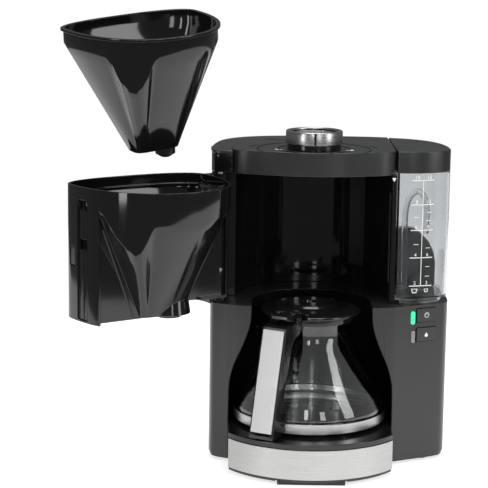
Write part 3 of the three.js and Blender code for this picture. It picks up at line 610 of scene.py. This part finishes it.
def cone(wall, dip, bottom, z_bottom, d=0.0, lift=0.0, steps=9, corner=4.2):
    """Funnel: each line drops from the foot of the upright band to the rounded slot at the bottom."""
    cx, cy, hx, hy = bottom
    n = len(wall)
    rings = [[] for _ in range(steps + 2)]
    for i, (x, y) in enumerate(wall):
        t = 2 * math.pi * i / n
        c, s_ = math.cos(t), math.sin(t)
        bx = cx + (hx - d) * math.copysign(abs(c) ** (2 / corner), c)
        by = cy + (hy - d) * math.copysign(abs(s_) ** (2 / corner), s_)
        zb = table(dip, x) + lift if y > 0 else (table(dip, x) if abs(x) < 1 else 284) + lift
        if y <= 0:
            zb = 284 + lift
        elif y < 30:
            k = y / 30
            zb = (284 + lift) * (1 - k) + zb * k
        for j in range(steps + 1):
            k = j / steps
            rings[j].append((bx + (x - bx) * k, by + (y - by) * k, z_bottom + (zb - z_bottom) * k))
        rings[steps + 1].append((x, y, 312))
    return loft(rings)


NR = 232
rim = superellipse(0, NR)
C_BOTTOM, I_BOTTOM = (3.2, 32.8, 24.6, 13.4), (3.2, 34.6, 23.6, 12.0)
funnel = both(cone(superellipse(0, NR), CAR_DIP, C_BOTTOM, 172), slab(-95, 95, -50, 120, 160, 300.5))
boss = cyl(OUTLET[0], OUTLET[1], 172.6, 232, 21.5, 96, 13.0)
funnel = add(funnel, cyl(OUTLET[0], OUTLET[1], 168.5, 200, 12.2, 64), boss)
inner = cone(superellipse(2.4, NR), CAR_DIP, C_BOTTOM, 174.4, 2.2, 1.6)
inner = add(inner, cyl(OUTLET[0], OUTLET[1], 174.6, 230, 19.4, 96, 11))
shell = both(cut(ext(rim, 168.5, 300.5), ext(superellipse(2.4, NR), 160, 310)), add(slab(-90, 90, -60, 6, 100, 330), slab(60, 90, -60, 41, 100, 330)))
shell = cut(shell, both(cut(ext(superellipse(-3, NR), 171, 330), ext(superellipse(1.5, NR), 160, 340)), slab(60, 90, 9, 25.6, 160, 297.2)))
ledge = cut(ext(superellipse(1.2, NR), 288.0, 290.5), ext(superellipse(5.6, NR), 280, 300))
posts = both(slab(69.4, 77.4, 8, 26.6, 168.5, 297.2), ext(superellipse(1.2, NR), 160, 300))
posts = cut(posts, slab(74.6, 90, 11.2, 16.0, 171, 295), slab(74.6, 90, 18.4, 23.4, 171, 295))
funnel_out = cone(superellipse(0, NR), CAR_DIP, C_BOTTOM, 172, 1.2, 1.0)
cheek = both(slab(12, 71.6, 38.2, 40.6, 171, 284), cut(ext(rim, 160, 300), funnel_out))
cheek_ribs = [loft([[(a0, 40.2, 172.5), (a0 + 1.7, 40.2, 172.5), (a0 + 1.7, 41.6, 172.5), (a0, 41.6, 172.5)], [(a1, 40.2, 262), (a1 + 1.7, 40.2, 262), (a1 + 1.7, 41.6, 262), (a1, 41.6, 262)]]) for a0, a1 in ((33.0, 66.0),)]
left_cheek = both(slab(-71.2, -8, 38.2, 40.6, 183, 284), cut(ext(rim, 160, 300), funnel_out))
left_cheek = cut(left_cheek, moved(cyl(0, 0, -20, 20, 2.9, 40), Matrix.Translation((-65.5, 40, 209.5)) @ Matrix.Rotation(math.radians(90), 4, "X")))
left_frame = add(slab(-71.6, -69.4, 38.4, 44.6, 183, 280), slab(-71.6, -40, 38.4, 44.6, 183, 185.4))
left_frame = both(left_frame, cut(ext(superellipse(0.3, NR), 160, 300), funnel_out))
knuckle = add(
    cyl(HX, HY, 168.5, 199, 7.6, 64), cyl(HX, HY, 262, 300.5, 7.6, 64),
    ext([(HX, HY - 5), (-75, HY - 5), (-75, HY + 1), (HX, HY + 1)], 168.5, 199), ext([(HX, HY - 5), (-75, HY - 5), (-75, HY + 1), (HX, HY + 1)], 262, 300.5),
)
knuckle = cut(knuckle, cyl(HX, HY, 160, 310, 3.4, 48), ext(superellipse(2.2, NR), 160, 310))
body = add(cut(funnel, inner), cheek, *cheek_ribs, left_cheek, shell, ledge, posts, left_frame, knuckle)
body = cut(body, cyl(OUTLET[0], OUTLET[1], 160, 190, 10.6, 64), slab(60, 90, -6, 4, 222, 240), slab(72.6, 90, 11.6, 23.2, 278, 288), slab(72.6, 90, 11.6, 23.2, 240, 250))
piece("carrier_fine", "carrier", body, GLOSS, OPEN, bevel=0.45, segments=2, nodes=["carrier"], sharp=34)
piece("carrier_latch_fine", "carrier", slab(74.4, 77.4, -5.4, 3.4, 222.6, 239.4), SATIN_TOP, OPEN, bevel=0.6, nodes=["carrier_latch"])

wall = superellipse(6.8, NR)
ins = both(cone(wall, INS_DIP, I_BOTTOM, 181), slab(-95, 95, -50, 120, 160, 298))
ins = add(ins, ext(superellipse(4.3, NR), 295.6, 298), cyl(OUTLET[0], OUTLET[1], 173.5, 196, 9.6, 64))
ins_in = cone(superellipse(8.6, NR), INS_DIP, I_BOTTOM, 183.4, 1.8, 1.4)
ins = cut(ins, ins_in, cyl(OUTLET[0], OUTLET[1], 160, 181.2, 8.2, 64), cyl(OUTLET[0], OUTLET[1], 160, 200, 3.4, 32))
clips = [slab(a, a + 2.2, 60, 110, 277, 287) for a in (-46, -55, -62)]
ins = cut(ins, *[both(c, cut(ext(superellipse(5, NR), 270, 290), ext(superellipse(7.7, NR), 260, 295))) for c in clips])


def wall_ribs():
    """Raised drain ribs along the inside of the two flat walls of the insert."""
    out = []
    inner_wall = superellipse(8.6, NR)
    cx, cy, hx, hy = I_BOTTOM
    for i, (x, y) in enumerate(inner_wall):
        if i % 4 or abs(x) > 46 or (27 < x):
            continue
        t = 2 * math.pi * i / NR
        c, s_ = math.cos(t), math.sin(t)
        b = Vector((cx + (hx - 1.8) * math.copysign(abs(c) ** (2 / 4.2), c), cy + (hy - 1.8) * math.copysign(abs(s_) ** (2 / 4.2), s_), 183.4))
        e = Vector((x, y, (table(INS_DIP, x) if y > 0 else 284) + 1.4))
        inward = Vector((0, -1 if y > 30 else 1, 0))
        w = Vector((0.5, 0, 0))
        rings = []
        for k in (0.12, 0.72):
            p = b + (e - b) * k - inward * 0.4
            rings.append([p - w, p + w, p + w * 0.5 + inward * 1.7, p - w * 0.5 + inward * 1.7])
        out.append(loft(rings))
    return out


ins_obj = piece("filter_insert_fine", "insert", ins, GLOSS, LIFTED, bevel=0.4, segments=2, nodes=["filter_insert"], sharp=34)
piece("insert_ribs", "insert", joined(*wall_ribs()), GLOSS, LIFTED, sharp=30)
valve = add(lathe([(0, 169.8), (2.6, 169.95), (4.6, 170.5), (6.3, 171.5), (7.4, 172.8), (7.8, 174.3), (7.8, 176), (0, 176)], *OUTLET, 64), cyl(*OUTLET, 175, 187, 2.6, 32))
piece("drip_valve_fine", "drip_stop", valve, GLOSS_SOFT, LIFTED, sharp=35, nodes=["drip_valve"])

# ------------------------------------------------------------------ water tank
tank = spline(TANK, 110, False)
foot = cut(ext(inset(tank, 5), HOUSING_TOP + 0.3, 173), ext(inset(tank, 8), 160, 172))
shell_t = cut(add(ext(tank, 172, 302.6), foot), ext(inset(tank, 1.9), 174.2, 310), cyl(112, 56, 160, 190, 6.4))
piece("water_tank_fine", "tank", shell_t, TANK_CLEAR, bevel=0.5, segments=2, nodes=["water_tank"])
tl = add(cut(ext(tank, 303, TOP - 0.2), ext(inset(tank, 2.4), 300, 321.6)), ext(inset(tank, 3), 322, 323))
piece("tank_lid_fine", "tank_lid", tl, SATIN_TOP, bevel=0.9, segments=3, nodes=["tank_lid"])
piece("intake_tube_fine", "tank", tube([(98, 22, 176), (98, 22, 200), (98, 22, 262), (103, 22, 276), (109, 22, 280), (115, 22, 276), (119, 22, 262), (119, 22, 236)], 3, 20, 70), TUBE_CLEAR, sharp=40, nodes=["intake_tube"])
piece("tank_valve_fine", "tank", lathe([(0, 169.2), (5.6, 169.2), (5.6, 174.9), (12, 174.9), (12, 177.6), (11.2, 179), (8, 186), (6, 188), (0, 189)], 112, 56, 64), SATIN, sharp=35, nodes=["tank_valve"])

# painted shade: a dark dome over the outlet at the back of the tank, a dark piece put where the tank shows only shade
dome = prism_y([(88.4, 174.6), (88.4, 231), (92, 235.6), (100, 237.5), (110, 235.5), (119, 229.5), (126.5, 221), (131.5, 211), (133.4, 200), (133.4, 174.6)], 50, 66)
piece("tank_painted_shade", "tank", dome, PAINTED_SHADE, bevel=2.4, segments=4, sharp=40)
# satin strip on the back right of the filter bay
strip = both(cut(ext(superellipse(-1.95, 200), 191, 293), ext(superellipse(-1.45, 200), 180, 300)), slab(43.5, 58.5, 50, 120, 191, 293))
piece("bay_strip", "machine", strip, SATIN_TOP, sharp=30)
# symbols on the two buttons: a ring with a stroke, and a drop
bz = [(BTN[0][2] + BTN[0][3]) / 2, (BTN[1][2] + BTN[1][3]) / 2]
ring_mark = cut(on_panel(circle(4, bz[0], 2.7, 40), -1.42, -1.34), on_panel(circle(4, bz[0], 2.15, 40), -2, 0), on_panel([(3.2, bz[0] + 1), (4.8, bz[0] + 1), (4.8, bz[0] + 4), (3.2, bz[0] + 4)], -2, 0))
ring_mark = joined(ring_mark, on_panel([(3.75, bz[0] + 0.4), (4.25, bz[0] + 0.4), (4.25, bz[0] + 3.2), (3.75, bz[0] + 3.2)], -1.42, -1.34))
piece("on_symbol", "on_button", ring_mark, WHITE, sharp=30)
drop = [(4 + 1.9 * math.sin(t) * (1 if math.cos(t) < 0.2 else (1 - math.cos(t)) / 0.8), bz[1] - 0.9 - 1.9 * -1 * (math.cos(t) if math.cos(t) < 0.2 else math.cos(t) * 1.7 - 0.14)) for t in [2 * math.pi * i / 40 for i in range(40)]]
piece("descale_symbol", "descale_button", on_panel(drop, -1.42, -1.34), WHITE, sharp=30)

# ------------------------------------------------------------------ jug
glass_out = [(71, 47.4), (74.6, 48.6), (76.6, 50.8), (77.5, 53.6), (77.8, 56.8), (79.4, 57.6), (79.9, 59.5), (79.4, 63), (77.4, 69), (73.6, 77), (67.8, 87), (61.4, 97.6), (54.8, 108), (48.8, 118), (44.2, 125.5), (41.4, 131), (40.3, 135.6), (40.2, 141), (40.7, 145.4), (41.4, 149.6), (41.4, 155.0), (40.9, 155.6)]
smooth_out = [p for p in spline([(r, z) for r, z in glass_out], 90, False)]
smooth_in = []
for i, (r, z) in enumerate(smooth_out):
    a, b = smooth_out[max(i - 1, 0)], smooth_out[min(i + 1, len(smooth_out) - 1)]
    dx, dz = b[0] - a[0], b[1] - a[1]
    l = math.hypot(dx, dz)
    smooth_in.append((r - 1.7 * dz / l, z + 1.7 * dx / l))
smooth_in = [(r, z) for r, z in smooth_in if 49.2 < z < 155.4]
glass_profile = [(0, 47.6), (60, 47.4)] + smooth_out + list(reversed(smooth_in)) + [(68, 49.3), (0, 49.3)]
piece("jug_glass_fine", "jug", lathe(glass_profile, n=176), GLASS, JUG, sharp=60, nodes=["jug_glass"])
piece("jug_band_fine", "jug", lathe([(78.3, 46.4), (79.3, 46.4), (79.6, 46.7), (79.6, 56.1), (79.3, 56.4), (78.3, 56.4), (78.3, 46.4)], n=176), STEEL_H, JUG, sharp=40, nodes=["jug_band"])


def radial(pts, t0, t1):
    """Outline of (r, z) in the plane through the handle, from side t0 to side t1."""
    return prism_y(pts, t0, t1)


handle_pts = [(40, 155.6), (70, 155.3), (76.5, 154.6), (79.4, 153.6), (80.5, 152), (106, 47.6), (105.6, 45.6), (104, 44.6), (80.2, 46.6), (80.2, 55.4), (86, 55.9), (89.6, 58.4), (89.0, 62), (65.2, 136), (63, 139), (52, 142), (40, 149.2)]
ear = [(41.5, 150), (54, 150), (54, 160.6), (47.6, 160.6), (44, 156)]
handle = add(pipe(0, 0, 149.8, 156, 46.2, 41.9, 128), radial(handle_pts, -13.4, 13.4), radial(ear, 9.6, 13.4), radial(ear, -13.4, -9.6))
handle = cut(handle, radial([(47, 139), (69.5, 139), (72.6, 166), (47, 166)], -9.2, 9.2), cyl(0, 0, 40, 160, 41.9, 128), radial([(40, 157.2), (56, 157.2), (56, 158.8), (40, 158.8)], -1, 1), radial(circle(50.4, 158, 1.9, 24), -20, 20), radial([(77.2, 154.2), (81.6, 152.6), (106.4, 50.4), (101.6, 49.6)], -12.1, 12.1))
piece("jug_handle_fine", "jug", handle, GLOSS_SOFT, JUG, bevel=0.9, segments=3, nodes=["jug_handle"], sharp=40)
piece("handle_inlay_fine", "jug", radial([(79.8, 151.6), (81.2, 151.9), (105.6, 51.6), (104.2, 51.3)], -11.8, 11.8), STEEL_V, JUG, bevel=0.35, segments=3, nodes=["handle_inlay"])
lid_body = lathe([(0, 160.4), (37, 160.4), (37, 151), (37.6, 150.6), (38.8, 150.8), (39.2, 151.4), (39.2, 156.6), (51.4, 156.6), (52, 157.2), (52.2, 158.4), (51.8, 159.6), (50.6, 160.4), (47, 161.6), (43, 162.5), (35, 163.2), (28, 163.5), (26.4, 164.2), (25.4, 166), (24.2, 166.7), (8, 167), (7.2, 166.4), (6.4, 163.2), (0, 162.8)], n=160)
lever = add(radial([(40, 158.4), (46, 156.4), (70.3, 160.8), (69.6, 164), (46, 163), (40, 162)], -8.8, 8.8), radial(circle(50.4, 158, 3.2, 32), -8.8, 8.8))
jl = cut(add(cut(lid_body, slab(40, 60, -14, 14, 140, 170)), lever), radial(circle(50.4, 158, 1.9, 24), -20, 20), cyl(0, 0, 150, 175, 4.5, 40), slab(41.2, 60, 9.3, 20, 140, 170), slab(41.2, 60, -20, -9.3, 140, 170))
piece("jug_lid_fine", "jug_lid", jl, GLOSS_SOFT, JUG, bevel=0.5, segments=2, nodes=["jug_lid"], sharp=40)

# ------------------------------------------------------------------ printed marks
tank_line = [(0.0, 85.4, -12.0)]
for (x0, y0), (x1, y1) in zip(tank[:-1], tank[1:]):
    tank_line.append((tank_line[-1][0] + math.hypot(x1 - x0, y1 - y0), x1, y1))


def on_tank(s, z, off):
    """Point on the tank's outer wall at the length s along its outline from the column side."""
    for (s0, x0, y0), (s1, x1, y1) in zip(tank_line[:-1], tank_line[1:]):
        if s <= s1:
            k = (s - s0) / (s1 - s0)
            nx, ny = (y1 - y0), -(x1 - x0)
            l = math.hypot(nx, ny)
            return (x0 + (x1 - x0) * k + nx / l * off, y0 + (y1 - y0) * k + ny / l * off, z)
    return (x1, y1, z)


def wrap(me, s0, z0):
    """Flat print (x along the wall, z up, y thickness) laid on the tank's wall."""
    me = me.copy()
    for v in me.vertices:
        v.co = on_tank(s0 + v.co.x, z0 + v.co.z, 0.06 + v.co.y)
    return me


def bar(x0, x1, z0, z1, n=8):
    rings = []
    for i in range(n + 1):
        x = x0 + (x1 - x0) * i / n
        rings.append([(x, 0, z0), (x, 0.12, z0), (x, 0.12, z1), (x, 0, z1)])
    return loft(rings)


def number(text, size):
    cu = bpy.data.curves.new("t", "FONT")
    cu.body = text
    cu.size = size
    cu.align_x = "CENTER"
    cu.extrude = 0.06
    cu.resolution_u = 3
    o = bpy.data.objects.new("t", cu)
    SCENE.collection.objects.link(o)
    bpy.context.view_layer.update()
    me = bpy.data.meshes.new_from_object(o.evaluated_get(bpy.context.evaluated_depsgraph_get()))
    bpy.data.objects.remove(o)
    me.transform(Matrix(((1, 0, 0, 0), (0, 0, 1, 0.06), (0, 1, 0, 0), (0, 0, 0, 1))))
    return me


marks = [bar(-0.35, 0.35, 186.2 - 240, 296.4 - 240, 1)]
rows = [(296.0, "10", "15"), (271.0, "8", "12"), (244.6, "6", "9"), (216.0, "4", "6"), (186.6, "2", "3")]
for z, left, right_n in rows:
    marks.append(bar(-12.2, -0.7, z - 0.45 - 240, z + 0.45 - 240))
    marks.append(bar(0.7, 12.4, z - 0.45 - 240, z + 0.45 - 240))
for z in (263, 254.5, 226, 206.5, 196.5):
    marks.append(bar(4.6, 9.4, z - 0.3 - 240, z + 0.3 - 240, 4))
for z in (230, 258):
    marks.append(bar(-8.6, -3.4, z - 0.3 - 240, z + 0.3 - 240, 4))
prints = [wrap(me, 26.6, 240) for me in marks]
for z, left, right_n in rows:
    prints.append(wrap(number(left, 5.2), 26.6 - 6.4, z + 1.3))
    prints.append(wrap(number(right_n, 5.2), 26.6 + 6.6, z + 1.3))


def cup(w, h):
    """Outline of a small cup symbol."""
    outer = [(-w, 0), (-w * 0.62, -h), (w * 0.62, -h), (w, 0), (w * 0.74, 0), (w * 0.46, -h * 0.78), (-w * 0.46, -h * 0.78), (-w * 0.74, 0)]
    return loft([[(x, 0, z) for x, z in outer], [(x, 0.12, z) for x, z in outer]])


prints.append(wrap(cup(3.4, 4.6), 26.6 - 6.4, 183.6))
prints.append(wrap(bar(-3.0, 3.0, -0.5, 0.1, 4), 26.6 - 6.4, 183.6))
prints.append(wrap(cup(2.5, 3.4), 26.6 + 6.4, 183.2))
prints.append(wrap(bar(-2.2, 2.2, -0.45, 0.1, 4), 26.6 + 6.4, 183.2))
piece("water_scale", "tank", joined(*prints), WHITE, sharp=30)


def flat(pts, z0, z1):
    return ext(pts, z0, z1)


for side_x, tag in ((-1, "left"), (1, "right")):
    tri = [(side_x * 31.5, -11.5), (side_x * 40.5, -9), (side_x * 38.5, -3.2)]
    piece("aroma_mark_" + tag, "machine", flat(tri, TOP + 0.02, TOP + 0.12), WHITE, sharp=30)
piece("cap_index_line", "machine", slab(-0.9, 0.9, -34.0, -29.6, TOP + 0.02, TOP + 0.1), GLOSS_SOFT, sharp=30)
mark_tri = [(79.4, 298.6), (83.6, 298.6), (81.5, 294.6)]
piece("carrier_mark", "machine", prism_y(mark_tri, -14.14, -14.02), WHITE, sharp=30)

# ------------------------------------------------------------------ floor and light
floor_me = bpy.data.meshes.new("floor")
floor_ring = [(1.15 * math.cos(2 * math.pi * i / 96), 0.55 + 1.15 * math.sin(2 * math.pi * i / 96), 0) for i in range(96)]
floor_me.from_pydata(floor_ring, [], [tuple(range(96))])
floor = bpy.data.objects.new("floor", floor_me)
SCENE.collection.objects.link(floor)
floor.location = (0, 0, -0.0002)
fm, ft, fb, fco = new_mat("floor_pale")
fb.inputs["Specular IOR Level"].default_value = 0.2
fb.inputs["Roughness"].default_value = 0.6
fr = ft.nodes.new("ShaderNodeValToRGB")
fr.color_ramp.elements[0].color = (0.9, 0.9, 0.9, 1)
fr.color_ramp.elements[1].color = (0.93, 0.93, 0.93, 1)
ft.links.new(noise(ft, fco, 1.5, 2).outputs[0], fr.inputs[0])
ft.links.new(fr.outputs[0], fb.inputs["Base Color"])
fb.inputs["Emission Color"].default_value = (1, 1, 1, 1)
fb.inputs["Emission Strength"].default_value = 0.64
floor_me.materials.append(fm)

ROOM = 0.16
world = bpy.data.worlds.new("studio")
SCENE.world = world
world.use_nodes = True
wt = world.node_tree
seen = wt.nodes["Background"]
seen.inputs[0].default_value = (1, 1, 1, 1)
seen.inputs[1].default_value = 1.0
room = wt.nodes.new("ShaderNodeBackground")
room.inputs[0].default_value = (0.96, 0.98, 1, 1)
room.inputs[1].default_value = ROOM
path = wt.nodes.new("ShaderNodeLightPath")
either = wt.nodes.new("ShaderNodeMath")
either.operation = "MAXIMUM"
wt.links.new(path.outputs["Is Camera Ray"], either.inputs[0])
wt.links.new(path.outputs["Is Transmission Ray"], either.inputs[1])
mixw = wt.nodes.new("ShaderNodeMixShader")
wt.links.new(either.outputs[0], mixw.inputs[0])
wt.links.new(room.outputs[0], mixw.inputs[1])
wt.links.new(seen.outputs[0], mixw.inputs[2])
wt.links.new(mixw.outputs[0], wt.nodes["World Output"].inputs[0])


def softbox(name, loc, target, size, power, size_y=None):
    l = bpy.data.lights.new(name, "AREA")
    l.shape = "RECTANGLE"
    l.size = size
    l.size_y = size_y or size
    l.energy = power
    o = bpy.data.objects.new(name, l)
    SCENE.collection.objects.link(o)
    o.location = loc
    o.rotation_euler = (Vector(target) - Vector(loc)).to_track_quat("-Z", "Y").to_euler()
    return o


softbox("key_left", (-1.25, -1.0, 0.75), (0, 0.1, 0.2), 0.34, 11, 1.5)
softbox("key_right", (1.45, -0.75, 0.8), (0, 0.1, 0.2), 0.5, 11, 1.4)
softbox("top", (0, 0.0, 1.75), (0, 0.1, 0), 1.1, 22)
softbox("front_strip", (-0.25, -2.3, 0.95), (0, 0.1, 0.2), 0.24, 6, 1.1)
softbox("front_right", (0.75, -2.1, 0.7), (0, 0.1, 0.2), 0.3, 5, 1.1)

SCENE.view_settings.view_transform = "Standard"
SCENE.view_settings.look = "None"
SCENE.view_settings.exposure = 0.0
